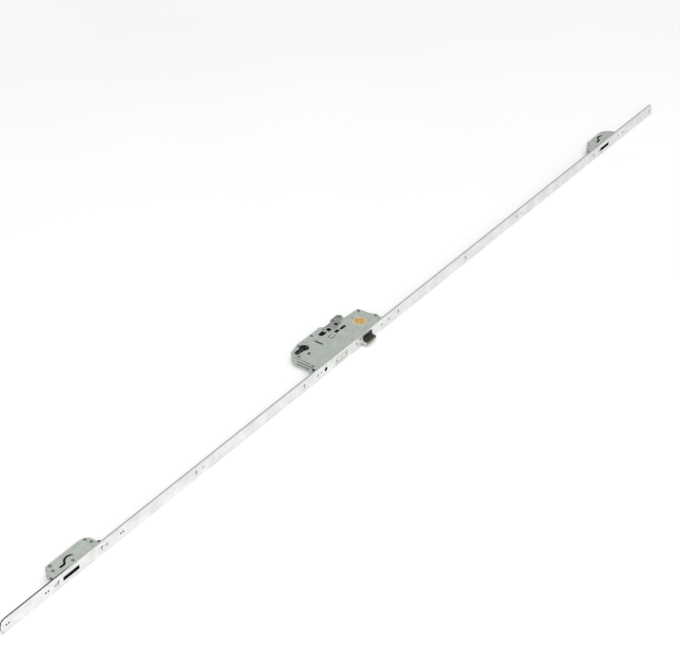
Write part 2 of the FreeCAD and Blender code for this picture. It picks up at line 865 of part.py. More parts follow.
def makeDeadboltTail():
    back = drive_pin_depth + deadbolt_throw + slant_slot_radius + 2.6
    far = drive_pin_place - drive_travel
    neck_left = guide_pin_place - guide_pin_edge
    neck_right = guide_pin_place + guide_pin_edge + rod_gap
    neck_back = guide_pin_depth + 3.4
    corner = 2 * tail_corner
    corners = [
        (bolt_tail_left, bolt_inside - tail_seat, 0),
        (bolt_tail_right, bolt_inside - tail_seat, 0),
        (bolt_tail_right, drive_pin_depth + 4.5, corner),
        (neck_right, back - 1.0, corner),
        (neck_right, neck_back, corner),
        (neck_left, neck_back, corner),
        (neck_left, back, corner),
        (far - 3.0, back, corner),
        (bolt_tail_left, back - 4.0, corner),
    ]
    bottom = bolt_tail_bottom
    top = bottom + tail_thick
    tail = flatPlate(corners, bottom, top)
    slot = slotBetween(
        drive_pin_place, drive_pin_depth, far, drive_pin_depth + deadbolt_throw,
        slant_slot_radius, bottom - past, top + past)
    hole = upright(guide_pin_place, guide_pin_depth, guide_pin_radius, bottom - past, top + past)
    return tail.cut([slot, hole]).removeSplitter()


def makeGuidePin():
    return upright(
        guide_pin_place, guide_pin_depth, guide_pin_radius, bolt_tail_bottom, case_thick / 2)


# Drive slide, gear and detent

def makeGear():
    """Gear that the cylinder's cam turns; one tooth space faces the rack at rest."""
    pitch_angle = 2 * math.pi / gear_teeth
    half = gear_module * math.pi / 4 - tooth_backlash / 2
    root = gear_root - tooth_sink
    base = upright(0, backset, gear_root, drive_bottom, gear_top)
    for tooth in range(gear_teeth):
        root_half = half + (gear_radius - root) * tooth_lean
        tip_half = half - gear_module * tooth_lean
        points = [V(root, -root_half, 0), V(gear_outer, -tip_half, 0)]
        points += [V(gear_outer, tip_half, 0), V(root, root_half, 0)]
        wire = Part.makePolygon(points + [points[0]])
        shape = Part.Face(wire).extrude(V(0, 0, gear_top - drive_bottom))
        angle = math.degrees((tooth + 0.5) * pitch_angle) - 90.0
        shape.rotate(V(0, 0, 0), V(0, 0, 1), angle)
        shape.translate(V(0, 0, drive_bottom))
        base = base.fuse(shape)
    base.translate(V(gear_place, 0, 0))
    bore = upright(gear_place, backset, gear_axle_radius + shaft_gap, -case_thick, case_thick)
    return base.cut(bore).removeSplitter()


def makeGearAxle():
    return upright(gear_place, backset, gear_axle_radius, -case_thick / 2, gear_top)


def rackTeeth():
    """Rack teeth on the back edge of the slide; one tooth sits right in front of the gear."""
    pitch = math.pi * gear_module
    half = pitch / 4 - tooth_backlash / 2
    low = half + (rack_line - rack_root) * tooth_lean
    high = half - gear_module * tooth_lean
    count = int(drive_travel / pitch) + 2
    teeth = []
    for index in range(-1, count + 1):
        x = gear_place + index * pitch
        corners = [
            (x - low, rack_root - tooth_sink, 0),
            (x + low, rack_root - tooth_sink, 0),
            (x + low, rack_root, 0),
            (x + high, rack_tip, 0),
            (x - high, rack_tip, 0),
            (x - low, rack_root, 0),
        ]
        teeth.append(flatPlate(corners, drive_bottom, drive_top))
    left = gear_place - 1.5 * pitch
    right = gear_place + (count + 0.5) * pitch
    back = block(left, right, bar_back - past, rack_root, drive_bottom, drive_top)
    return [back] + teeth


def detentNotch(x):
    corners = [
        (x - notch_half, bar_front, 0),
        (x, bar_front + notch_depth, 0),
        (x + notch_half, bar_front, 0),
    ]
    return flatPlate(corners, drive_bottom - past, drive_top + past)


def linkRivets(x0, x1):
    """Places of the two rivets that join a strip and a rod's lug."""
    f = strip_back - link_rivet_edge
    return [(x0 + link_rivet_inset, f), (x1 - link_rivet_inset, f)]


lower_link = (lower_rod_end - lug_length, lower_rod_end)
upper_link = (upper_rod_end, upper_rod_end + lug_length)


def makeDriveSlide():
    bottom, top = drive_bottom, drive_top
    lower_leg_end = -cylinder_spacing
    left = lower_leg_end - leg_width
    right = upper_leg_place + leg_width
    bar = block(left, right, bar_front, bar_back, bottom, top)
    lower_leg = block(left, lower_leg_end, strip_front, bar_back, bottom, top)
    upper_leg = block(upper_leg_place, right, strip_front, bar_back, bottom, top)
    lower_strip = block(lower_link[0], lower_leg_end, strip_front, strip_back, bottom, top)
    upper_strip = block(upper_leg_place, upper_link[1], strip_front, strip_back, bottom, top)
    slide = bar.fuse([lower_leg, upper_leg, lower_strip, upper_strip] + rackTeeth())
    cuts = [guideSlot(x, f) for x, f in slide_studs]
    cuts += [detentNotch(detent_place), detentNotch(detent_place + drive_travel)]
    cuts.append(upright(
        drive_pin_place, drive_pin_depth, drive_pin_radius, bottom - past, top + past))
    for x, f in linkRivets(*lower_link) + linkRivets(*upper_link):
        cuts.append(upright(x, f, link_rivet_radius, bottom - past, top + past))
    return slide.cut(cuts).removeSplitter()


def guideSlot(x, f):
    """Slot along X that lets the slide move its whole travel past a fixed stud."""
    radius = stud_radius + slide_gap
    return slotBetween(
        x, f, x + drive_travel, f, radius, drive_bottom - past, drive_top + past)


def makeDrivePin():
    return upright(
        drive_pin_place, drive_pin_depth, drive_pin_radius, drive_bottom,
        bolt_tail_bottom + tail_thick)


def makeSlideStud(x, f):
    shank = upright(x, f, stud_radius, -case_thick / 2, drive_top + layer_gap)
    top = drive_top + layer_gap
    head = upright(x, f, stud_head_radius, top, top + stud_head_thick)
    return shank.fuse(head).removeSplitter()


def makeDetentPost(x, f):
    return upright(x, f, rivet_radius, -case_thick / 2, drive_top)


def makeDetentSpring():
    """Leaf spring whose V rests in a notch of the slide."""
    near = detent_posts[0][1] - rivet_radius - slide_gap
    tip = bar_front + notch_depth - notch_gap
    left, right = detent_posts[0][0] - 1.5, detent_posts[1][0] + 1.5
    shoulder = bar_front - detent_shoulder
    half = notch_half + slide_gap
    front = [(left, near), (detent_place - detent_foot, near), (detent_place - half, shoulder)]
    front += [(detent_place, tip)]
    front += [(detent_place + half, shoulder), (detent_place + detent_foot, near), (right, near)]
    back = [(x, f - detent_wire) for x, f in reversed(front)]
    corners = [(x, f, 0) for x, f in front + back]
    return flatPlate(corners, drive_bottom, drive_top)


# Rods

def makeRod(x0, x1):
    """Flat bar behind the faceplate with a lug at each end and slots for screws and studs."""
    back = rod_front + rod_thick
    bar = block(x0, x1, rod_front, back, -rod_half_width, rod_half_width)
    cuts = []
    under = (rod_front - past, strip_back + past, -case_thick, drive_top)
    for start, end in ((x0, x0 + lug_length), (x1 - lug_length, x1)):
        bar = bar.fuse(block(start, end, rod_front, strip_back, drive_top, drive_top + lug_thick))
        cuts.append(block(start - slide_gap, end + slide_gap, *under))
        for x, f in linkRivets(start, end):
            cuts.append(upright(x, f, link_rivet_radius, -case_thick, case_thick))
    radius = door_hole_radius + 0.5
    for x in door_holes + door_pairs:
        if x0 < x < x1:
            extra = pair_apart / 2 if x in door_pairs else 0.0
            cuts.append(rodSlot(x - extra, drive_travel + 2 * extra, radius))
    for x in rod_studs:
        if x0 < x < x1:
            cuts.append(rodSlot(x, drive_travel, stud_radius + slide_gap))
    return bar.cut(cuts).removeSplitter()


def rodSlot(x, travel, radius):
    low, high = rod_front - past, rod_front + rod_thick + past
    slot = block(x, x + travel, low, high, -radius, radius)
    slot = slot.fuse(lengthwise(x, 0, radius, low, high))
    return slot.fuse(lengthwise(x + travel, 0, radius, low, high))


# Hook cases

def allCaseScrews():
    places = list(main_case_screws)
    for case in hook_cases:
        places += case["screws"]
    return places


lower_case = {
    "name": "lower",
    "start": lower_slot_start,
    "corners": [
        (-15.4, faceplate_thick, 0), (-13.5, 12.0, 3.0), (-7.0, 21.0, 3.0), (-4.0, 33.0, corner_round),
        (73.0, 33.0, 9.0), (86.5, 25.0, 9.0), (85.5, 10.0, 0), (84.0, faceplate_thick, 0)],
    "rivets": [(77.6, 27.2), (79.5, 16.2), (3.2, 28.4), (-2.0, 17.8)],
    "feet": [(-21.0, -4.0), (76.0, 101.0)],
    "flaps": [(80.0, 89.5)],
    "screws": [lower_slot_start - 16.2, lower_slot_start + 95.4],
    "leg": (62.0, 74.0),
    "strip": (62.0, 136.0),
    "bar_back": 27.0,
}
upper_case = {
    "name": "upper",
    "start": upper_slot_start,
    "corners": [
        (-33.5, faceplate_thick, 0), (-33.0, 9.0, 3.0), (-20.8, 20.8, 6.0), (-2.0, 30.0, corner_round),
        (52.0, 30.0, 9.0), (66.0, 22.0, 8.0), (70.5, 10.0, 4.0), (75.0, 5.0, 0),
        (75.0, faceplate_thick, 0)],
    "rivets": [(56.0, 21.5), (-22.5, 14.8), (-11.5, 20.5), (62.0, 12.5)],
    "feet": [(-33.0, -3.0), (62.0, 82.0)],
    "flaps": [],
    "screws": [upper_slot_start - 4.9, upper_slot_start + 74.6],
    "leg": (12.0, 24.0),
    "strip": (-53.5, 24.0),
    "bar_back": 24.6,
}
hook_cases = [lower_case, upper_case]


def atCase(case, corners):
    return [(x + case["start"], f, radius) for x, f, radius in corners]


def pivotPlace(case):
    return case["start"] + hook_slot_length - hook_slot_lip, pivot_depth


def hookPinPlace(case):
    """Rest place of the pin that the hook slide drives."""
    x, f = pivotPlace(case)
    angle = math.radians(90.0 - hook_swing / 2)
    return x + hook_crank * math.cos(angle), f + hook_crank * math.sin(angle)


def arcSlot(case, radius, z0, z1):
    """Curved slot about the hook's pivot for the drive pin, with a tail that fits it together."""
    x, f = pivotPlace(case)
    low, high = hook_crank - radius, hook_crank + radius
    first = 90.0 - hook_swing / 2
    ring = Part.makeCylinder(high, z1 - z0, V(0, 0, 0), V(0, 0, 1), hook_swing)
    ring = ring.cut(Part.makeCylinder(low, z1 - z0))
    ring.rotate(V(0, 0, 0), V(0, 0, 1), first)
    ring.translate(V(x, intoDoor(f), z0))
    for angle in (first, first + hook_swing):
        end_x = x + hook_crank * math.cos(math.radians(angle))
        end_f = f + hook_crank * math.sin(math.radians(angle))
        ring = ring.fuse(upright(end_x, end_f, radius, z0, z1))
    knee_x, knee_f = end_x - arc_knee_along, end_f - arc_knee_down
    knee = slotBetween(end_x, end_f, knee_x, knee_f, radius, z0, z1)
    tail = slotBetween(
        knee_x, knee_f, knee_x - arc_tail_along, knee_f, arc_tail_radius, z0, z1)
    return ring.fuse([knee, tail])


def doorScrewPaths():
    return [lengthwise(x, 0, door_hole_radius + rod_gap, 0, backset) for x in door_holes]


def makeHookTray(case):
    low, high = -case_thick, case_thick
    rivets = [(x + case["start"], f) for x, f in case["rivets"]]
    cuts = throughRivets(rivets) + [arcSlot(case, hook_pin_radius + hole_gap, low, high)]
    cuts.append(upright(*pivotPlace(case), pivot_radius, low, high))
    return makeTray(atCase(case, case["corners"]), cuts, doorScrewPaths())


def makeHookCover(case):
    low, high = -case_thick, case_thick
    rivets = [(x + case["start"], f) for x, f in case["rivets"]]
    cuts = throughRivets(rivets) + [arcSlot(case, pin_neck_radius + hole_gap, low, high)]
    cuts.append(upright(*pivotPlace(case), pivot_radius, low, high))
    feet = [(x0 + case["start"], x1 + case["start"]) for x0, x1 in case["feet"]]
    screws = [lengthwise(x, 0, case_screw_radius, 0, bar_front) for x in case["screws"]]
    flaps = [(x0 + case["start"], x1 + case["start"]) for x0, x1 in case["flaps"]]
    return makeCover(atCase(case, case["corners"]), cuts, feet, screws + doorScrewPaths(), flaps)


def makeHookRivets(case):
    return [rivet(x + case["start"], f, rivet_radius, -case_thick / 2, case_thick / 2)
            for x, f in case["rivets"]]


def makeHook(case):
    """Swinging hook, drawn thrown out along -Y about its pivot, then turned back to rest."""
    bottom, top = hook_bottom, hook_bottom + hook_thick
    claw_line = hook_claw_depth - hook_reach
    tip = -hook_reach - past
    neck = [
        (hook_shoulder, pivot_radius, 0),
        (hook_shoulder, claw_line, tail_corner),
        (hook_claw, claw_line, tail_corner),
        (hook_claw, tip, 0),
        (-hook_neck, tip, 0),
        (-hook_neck - 1.2, pivot_radius, 0),
    ]
    wire = roundedWire(neck, lambda x, y: V(x, y, bottom))
    arm = Part.Face(wire).extrude(V(0, 0, hook_thick))
    arm = arm.common(Part.makeCylinder(hook_reach, hook_thick, V(0, 0, bottom)))
    boss = Part.makeCylinder(pivot_boss, hook_thick, V(0, 0, bottom))
    angle = math.radians(90.0 + hook_swing / 2)
    pin_x, pin_y = hook_crank * math.cos(angle), hook_crank * math.sin(angle)
    ear_radius = hook_pin_radius + hook_pin_wall
    ear = Part.makeCylinder(ear_radius, hook_thick, V(pin_x, pin_y, bottom))
    web = [
        (0.0, 0.0),
        (0.5, pivot_boss - 1.1),
        (pin_x + 1.5, pin_y + 4.0),
        (pin_x - 4.8, pin_y),
        (-hook_neck - 1.0, 0.0),
    ]
    points = [V(x, y, bottom) for x, y in web]
    web_shape = Part.Face(Part.makePolygon(points + [points[0]])).extrude(V(0, 0, hook_thick))
    hook = arm.fuse([boss, ear, web_shape])
    hook = hook.cut([
        Part.makeCylinder(pivot_radius + shaft_gap, case_thick, V(0, 0, -case_thick / 2)),
        Part.makeCylinder(hook_pin_radius, case_thick, V(pin_x, pin_y, -case_thick / 2)),
    ])
    hook.rotate(V(0, 0, 0), V(0, 0, 1), -hook_swing)
    x, f = pivotPlace(case)
    hook.translate(V(x, intoDoor(f), 0))
    return hook.removeSplitter()


def makeHookPivot(case):
    return upright(*pivotPlace(case), pivot_radius, -case_thick / 2, case_thick / 2)


def makeHookPin(case):
    """Pin through hook and slide, with a thinner neck in the cover's slot."""
    top = hook_bottom + hook_thick
    body = upright(*hookPinPlace(case), hook_pin_radius, -case_thick / 2, top)
    neck = upright(*hookPinPlace(case), pin_neck_radius, top, case_thick / 2)
    return body.fuse(neck).removeSplitter()


def hookLink(case):
    """Span along the faceplate where the hook slide's strip meets the rod's lug."""
    near, far = [case["start"] + place for place in case["strip"]]
    if near < case["start"]:
        return near, near + lug_length
    return far - lug_length, far


def makeHookSlide(case):
    """Slide with a crosswise slot for the hook's pin and a strip that meets the rod."""
    start = case["start"]
    bottom, top = drive_bottom, drive_top
    pin_x, pin_f = hookPinPlace(case)
    slot_radius = hook_pin_radius + hook_pin_play
    leg0, leg1 = case["leg"]
    strip0, strip1 = case["strip"]
    around = slot_radius + hook_slide_edge
    bar_start = min(pin_x - start - around, leg0)
    bar_end = max(pin_x - start + around, leg1)
    bar_low = pivot_depth + pivot_radius + 4 * slide_gap
    bar_high = case["bar_back"] + 1.6
    bar = block(start + bar_start, start + bar_end, bar_low, bar_high, bottom, top)
    leg = block(start + leg0, start + leg1, strip_front, case["bar_back"], bottom, top)
    strip = block(start + strip0, start + strip1, strip_front, strip_back, bottom, top)
    slide = bar.fuse([leg, strip])
    reach = pivot_depth + hook_crank
    cuts = [slotBetween(
        pin_x, pin_f - rod_gap, pin_x, reach + rod_gap, slot_radius, bottom - past, top + past)]
    link = hookLink(case)
    for x, f in linkRivets(*link):
        cuts.append(upright(x, f, link_rivet_radius, bottom - past, top + past))
    return slide.cut(cuts).removeSplitter()


def makeLinkRivet(x, f):
    return upright(x, f, link_rivet_radius, drive_bottom, drive_top + lug_thick)


# Build and write every piece

save("faceplate", makeFaceplate())
saveGroup("case_screws", [caseScrew(x) for x in allCaseScrews()])
saveGroup("rod_studs", [makeRodStud(x) for x in rod_studs])
save("main_case_tray", makeMainTray())
save("main_case_cover", makeMainCover())
saveGroup("main_case_rivets", [rivet(x, f, rivet_radius, -case_thick / 2, case_thick / 2)
                               for x, f in main_rivets])
save("follower_cassette", makeCassette())
cassette_top = cassette_bottom + cassette_thick
saveGroup("cassette_rivets", [rivet(x, f, rivet_radius, -case_thick / 2, cassette_top)
                              for x, f in cassette_rivets])
save("follower", makeFollower())
save("spring_pusher", makePusher())
save("follower_spring", makeFollowerSpring())
save("latch_head", makeLatchHead())
save("latch_insert", makeLatchInsert())
save("latch_tail", makeLatchTail())
save("latch_rod", makeLatchRod())
save("latch_guide", makeLatchGuide())
save("latch_spring", makeLatchSpring())
save("deadbolt", makeDeadbolt())
saveGroup("deadbolt_saw_pins", [makeSawPin(x) for x in sawPins()])
save("deadbolt_tail", makeDeadboltTail())
save("deadbolt_guide_pin", makeGuidePin())
save("drive_slide", makeDriveSlide())
save("drive_pin", makeDrivePin())
save("drive_gear", makeGear())
save("gear_axle", makeGearAxle())
saveGroup("slide_studs", [makeSlideStud(x, f) for x, f in slide_studs])
saveGroup("detent_posts", [makeDetentPost(x, f) for x, f in detent_posts])
save("detent_spring", makeDetentSpring())

for hook_case in hook_cases:
    name = hook_case["name"]
    save(name + "_hook_tray", makeHookTray(hook_case))
    save(name + "_hook_cover", makeHookCover(hook_case))
    saveGroup(name + "_hook_rivets", makeHookRivets(hook_case))
    save(name + "_hook", makeHook(hook_case))
    save(name + "_hook_pivot", makeHookPivot(hook_case))
    save(name + "_hook_pin", makeHookPin(hook_case))
    save(name + "_hook_slide", makeHookSlide(hook_case))

links = [lower_link, upper_link, hookLink(lower_case), hookLink(upper_case)]
save("lower_rod", makeRod(links[2][0], lower_rod_end))
save("upper_rod", makeRod(upper_rod_end, links[3][1]))
saveGroup("rod_rivets", [makeLinkRivet(x, f) for link in links for x, f in linkRivets(*link)])

label = upright(label_place, label_depth, label_radius, case_thick / 2, case_thick / 2 + label_thick)
save("round_label", label)
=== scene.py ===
import bpy
import bmesh
import json
import math
from mathutils import Matrix, Vector

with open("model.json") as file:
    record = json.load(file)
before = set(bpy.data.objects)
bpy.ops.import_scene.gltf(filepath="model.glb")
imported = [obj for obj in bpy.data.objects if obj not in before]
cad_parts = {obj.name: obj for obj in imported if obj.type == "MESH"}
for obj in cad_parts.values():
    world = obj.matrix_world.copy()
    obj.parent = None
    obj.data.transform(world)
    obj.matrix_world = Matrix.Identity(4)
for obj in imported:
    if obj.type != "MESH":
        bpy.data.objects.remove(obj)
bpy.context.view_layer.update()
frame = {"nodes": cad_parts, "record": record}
nodes = frame["nodes"]
print("frame loaded:", len(nodes), "nodes")


# colours and materials

def linear(hexCode):
    # sRGB hex to linear RGBA
    parts = [int(hexCode[i:i + 2], 16) / 255 for i in (0, 2, 4)]
    return tuple(c / 12.92 if c <= 0.04045 else ((c + 0.055) / 1.055) ** 2.4 for c in parts) + (1.0,)


def addNode(tree, kind, settings=None, inputs=None):
    # settings are the node's own properties; an input is a value or a (node, output) pair
    node = tree.nodes.new(kind)
    for key, value in (settings or {}).items():
        setattr(node, key, value)
    for key, value in (inputs or {}).items():
        if isinstance(value, tuple) and len(value) == 2 and isinstance(value[0], bpy.types.Node):
            tree.links.new(value[0].outputs[value[1]], node.inputs[key])
        else:
            node.inputs[key].default_value = value
    return node


def blankMaterial(name):
    material = bpy.data.materials.new(name)
    material.use_nodes = True
    tree = material.node_tree
    tree.nodes.clear()
    return material, tree


def finishMaterial(tree, shader):
    out = addNode(tree, "ShaderNodeOutputMaterial")
    tree.links.new(shader.outputs[0], out.inputs["Surface"])


# Zinc-plated rolled steel: silvery, with faint cloudy patches of the plating and fine lines along the
# rolling direction.
platedStrip = {
    "bright": "FAFBF9",
    "dull": "EAECEA",
    "stain": "BFC2BA",
    "edgeWearAndHighlight": "FAFAF8",  # bare metal on rubbed edges, and a painted highlight along them
    "cutEdge": "DADDD9",
    "hole": "4A4C4A",     # painted shade on the walls of the holes
    "holesInside": 0.0113,   # metres from the middle line; the outer edges lie beyond
    "endReflection": "777A76",      # painted dark reflection on the cut edges at the lower end, below the next value along X
    "endReflectionBelow": -0.742,
    "flat": (0.0, 1.0, 0.0),
    "metallic": 0.9,
    "roughness": 0.36,
    "patchMm": 28.0,      # size of the cloudy patches; the specks are a few millimetres apart in each
    "lineMm": 0.55,       # spacing of the rolling lines, coarser than the real 0.1 mm so that they show
    "bump": 0.05,
    "edgeMm": 0.35,       # width of the rubbed edges
}

# Passivated zinc-plated sheet: green-grey, satin, with small spangle and scuffs from stamping.
caseSheet = {
    "bright": "E6EEE7",
    "dull": "D5DED7",
    "stain": "AEB6AE",
    "edgeWearAndHighlight": "E6EAE6",
    "cutEdge": "7D827D",
    "flat": (0.0, 0.0, 1.0),
    "metallic": 0.95,
    "roughness": 0.42,
    "patchMm": 9.0,
    "lineMm": 0.9,
    "bump": 0.07,
    "edgeMm": 0.3,
}

# The covers' cut edges, in and around their openings, are painted dark as painted shade. The lower cover's
# bent end, beyond footFrom along X and below footBelow along Y, is painted dark as painted shade. The
# trays' bent walls are bright, with painted shade in the main case's grooves, which lie from grooveFrom to
# grooveTo along X.
# the covers' cut edges are painted dark as painted shade
coverSheet = dict(caseSheet, cutEdge="464A46")
lowerCoverSheet = dict(coverSheet, foot="5E5B57", footFrom=-0.6575, footBelow=-0.0485)
traySheet = dict(caseSheet, cutEdge="C2C9C3", groove="4A4D4A", grooveFrom=-0.1033, grooveTo=-0.1029)

# Phosphated sheet of the plate around the follower: brown-grey, dull, slightly oily; its cut edges are
# painted dark as painted shade.
darkSheet = dict(
    caseSheet, bright="C6C8C3", dull="ABADA8", stain="7C7A75", edgeWearAndHighlight="D8D8D4", cutEdge="5A5957",
    roughness=0.46, patchMm=5.0, lineMm=0.8, bump=0.08)

# Zinc-plated stamped steel of the rods: grey, satin, with drawn marks along the part.
slideSteel = dict(
    caseSheet, bright="B0B4AF", dull="959893", stain="7C7F79", edgeWearAndHighlight="D4D6D1", cutEdge="7A7C78",
    roughness=0.4, patchMm=12.0, lineMm=0.7, bump=0.06)

# The slides inside the cases are dark with oil.
oiledSlide = dict(
    slideSteel, bright="5C5E5B", dull="444643", stain="333432", edgeWearAndHighlight="7A7C78", cutEdge="3C3D3B")

# Nickel-plated steel of the bolts' hidden parts: warm silver and smoother.
boltSteel = dict(
    caseSheet, bright="DDDBD4", dull="C3C1BA", stain="9C9A91", edgeWearAndHighlight="F0EFEA", cutEdge="AAA8A0",
    roughness=0.3, patchMm=6.0, lineMm=0.5, bump=0.04)

# The latch's cheeks, which face along X, are painted bright as a painted reflection; its other faces, the
# tip among them, are painted dark as painted shade.
latchCasting = dict(boltSteel, flat=(1.0, 0.0, 0.0), bright="F3F2ED", dull="DEDCD4", cutEdge="807E77")

# The deadbolt's end is ground as bright as the faceplate.
groundBolt = dict(boltSteel, flat=(0.0, 1.0, 0.0), bright="F0F0ED", dull="DFDFDB", cutEdge="9C9B96")

# Turned and plated screws and pins: bright, with fine turning marks.
turnedBar = dict(slideSteel, bright="DADCD8", dull="C6C8C4", cutEdge="D0D2CE", patchMm=3.0, lineMm=0.3)

# Pressed rivet heads: unplated, darker than the sheet around them.
pressedBar = dict(caseSheet, bright="A2A8A2", dull="878D87", edgeWearAndHighlight="BCC1BC", patchMm=3.0, lineMm=0.4)

# Hardened and blackened hooks: near black, with bare metal and a painted highlight on the rubbed edges.
hardenedBar = dict(
    slideSteel, bright="505154", dull="37383A", stain="262627", edgeWearAndHighlight="7C7D7F", cutEdge="3A3B3D")

# Drawn spring wire: blue-grey, with drawing lines.
drawnWire = dict(slideSteel, bright="7E8083", dull="5E6063", patchMm=2.0, lineMm=0.2)


def platedSteel(name, look, along=(1.0, 0.0, 0.0)):
    # along is the rolling direction; the lines are thin across it
    material, tree = blankMaterial(name)
    place = addNode(tree, "ShaderNodeTexCoord")
    patches = addNode(tree, "ShaderNodeTexNoise", {"noise_dimensions": "3D"}, {
        "Vector": (place, "Object"), "Scale": 1000.0 / look["patchMm"], "Detail": 5.0, "Roughness": 0.55})
    lineLength = 24.0     # times the width of a line
    across = 1000.0 / look["lineMm"]
    stretch = tuple(across / lineLength if part else across for part in along)
    mapping = addNode(tree, "ShaderNodeMapping", None, {"Vector": (place, "Object"), "Scale": stretch})
    lines = addNode(tree, "ShaderNodeTexNoise", None, {
        "Vector": (mapping, "Vector"), "Scale": 1.0, "Detail": 3.0, "Roughness": 0.6})
    speck = addNode(tree, "ShaderNodeTexVoronoi", {"feature": "F1"}, {
        "Vector": (place, "Object"), "Scale": 2600.0 / look["patchMm"], "Randomness": 1.0})
    speckRange = addNode(tree, "ShaderNodeMapRange", None, {
        "Value": (speck, "Distance"), "From Min": 0.02, "From Max": 0.16, "To Min": 1.0, "To Max": 0.0})
    patchRange = addNode(tree, "ShaderNodeMapRange", None, {
        "Value": (patches, "Fac"), "From Min": 0.36, "From Max": 0.64})
    base = addNode(tree, "ShaderNodeMix", {"data_type": "RGBA"}, {
        "Factor": (patchRange, "Result"), "A": linear(look["dull"]), "B": linear(look["bright"])})
    stainRange = addNode(tree, "ShaderNodeMath", {"operation": "MULTIPLY"}, {
        0: (speckRange, "Result"), 1: 0.35})
    stained = addNode(tree, "ShaderNodeMix", {"data_type": "RGBA"}, {
        "Factor": (stainRange, "Value"), "A": (base, "Result"), "B": linear(look["stain"])})
    # bare worn metal along the edges with a painted highlight on them, broken up by the patches
    shape = addNode(tree, "ShaderNodeNewGeometry")
    softened = addNode(tree, "ShaderNodeBevel", {"samples": 4}, {"Radius": look["edgeMm"] / 1000.0})
    alike = addNode(tree, "ShaderNodeVectorMath", {"operation": "DOT_PRODUCT"}, {
        0: (softened, "Normal"), 1: (shape, "Normal")})
    edgeRange = addNode(tree, "ShaderNodeMapRange", None, {
        "Value": (alike, "Value"), "From Min": 0.985, "From Max": 0.9, "To Min": 0.0, "To Max": 1.0})
    rubbed = addNode(tree, "ShaderNodeTexNoise", None, {
        "Vector": (place, "Object"), "Scale": 1000.0 / look["edgeMm"] / 6.0, "Detail": 3.0})
    rubbedRange = addNode(tree, "ShaderNodeMapRange", None, {
        "Value": (rubbed, "Fac"), "From Min": 0.35, "From Max": 0.6})
    cornerRange = addNode(tree, "ShaderNodeMath", {"operation": "MULTIPLY"}, {
        0: (edgeRange, "Result"), 1: (rubbedRange, "Result")})
    # sheared edges and the walls of holes are duller than the rolled faces; in some finishes this edge
    # colour is a painted shade
    facing = addNode(tree, "ShaderNodeVectorMath", {"operation": "DOT_PRODUCT"}, {
        0: (shape, "True Normal"), 1: look["flat"]})
    turned = addNode(tree, "ShaderNodeMath", {"operation": "ABSOLUTE"}, {0: (facing, "Value")})
    cutRange = addNode(tree, "ShaderNodeMapRange", None, {
        "Value": (turned, "Value"), "From Min": 0.4, "From Max": 0.6, "To Min": 1.0, "To Max": 0.0})
    edged = addNode(tree, "ShaderNodeMix", {"data_type": "RGBA"}, {
        "Factor": (cutRange, "Result"), "A": (stained, "Result"), "B": linear(look["cutEdge"])})
    split = addNode(tree, "ShaderNodeSeparateXYZ", None, {"Vector": (place, "Object")})
    if "groove" in look:
        # painted shade on the floors of the grooves
        after = addNode(tree, "ShaderNodeMath", {"operation": "GREATER_THAN"}, {
            0: (split, "X"), 1: look["grooveFrom"]})
        before = addNode(tree, "ShaderNodeMath", {"operation": "LESS_THAN"}, {
            0: (split, "X"), 1: look["grooveTo"]})
        between = addNode(tree, "ShaderNodeMath", {"operation": "MULTIPLY"}, {
            0: (after, "Value"), 1: (before, "Value")})
        edged = addNode(tree, "ShaderNodeMix", {"data_type": "RGBA"}, {
            "Factor": (between, "Value"), "A": (edged, "Result"), "B": linear(look["groove"])})
    if "foot" in look:
        # painted shade on the lower cover's bent end
        beyond = addNode(tree, "ShaderNodeMath", {"operation": "GREATER_THAN"}, {
            0: (split, "X"), 1: look["footFrom"]})
        below = addNode(tree, "ShaderNodeMath", {"operation": "LESS_THAN"}, {
            0: (split, "Y"), 1: look["footBelow"]})
        footShare = addNode(tree, "ShaderNodeMath", {"operation": "MULTIPLY"}, {
            0: (beyond, "Value"), 1: (below, "Value")})
        edged = addNode(tree, "ShaderNodeMix", {"data_type": "RGBA"}, {
            "Factor": (footShare, "Value"), "A": (edged, "Result"), "B": linear(look["foot"])})
    if "hole" in look:
        # painted dark reflection on the cut edges at the lower end
        low = addNode(tree, "ShaderNodeMapRange", None, {
            "Value": (split, "X"), "From Min": look["endReflectionBelow"], "From Max": look["endReflectionBelow"] + 0.02,
            "To Min": 1.0, "To Max": 0.0})
        endReflectionShare = addNode(tree, "ShaderNodeMath", {"operation": "MULTIPLY"}, {
            0: (low, "Result"), 1: (cutRange, "Result")})
        endReflected = addNode(tree, "ShaderNodeMix", {"data_type": "RGBA"}, {
            "Factor": (endReflectionShare, "Value"), "A": (edged, "Result"), "B": linear(look["endReflection"])})
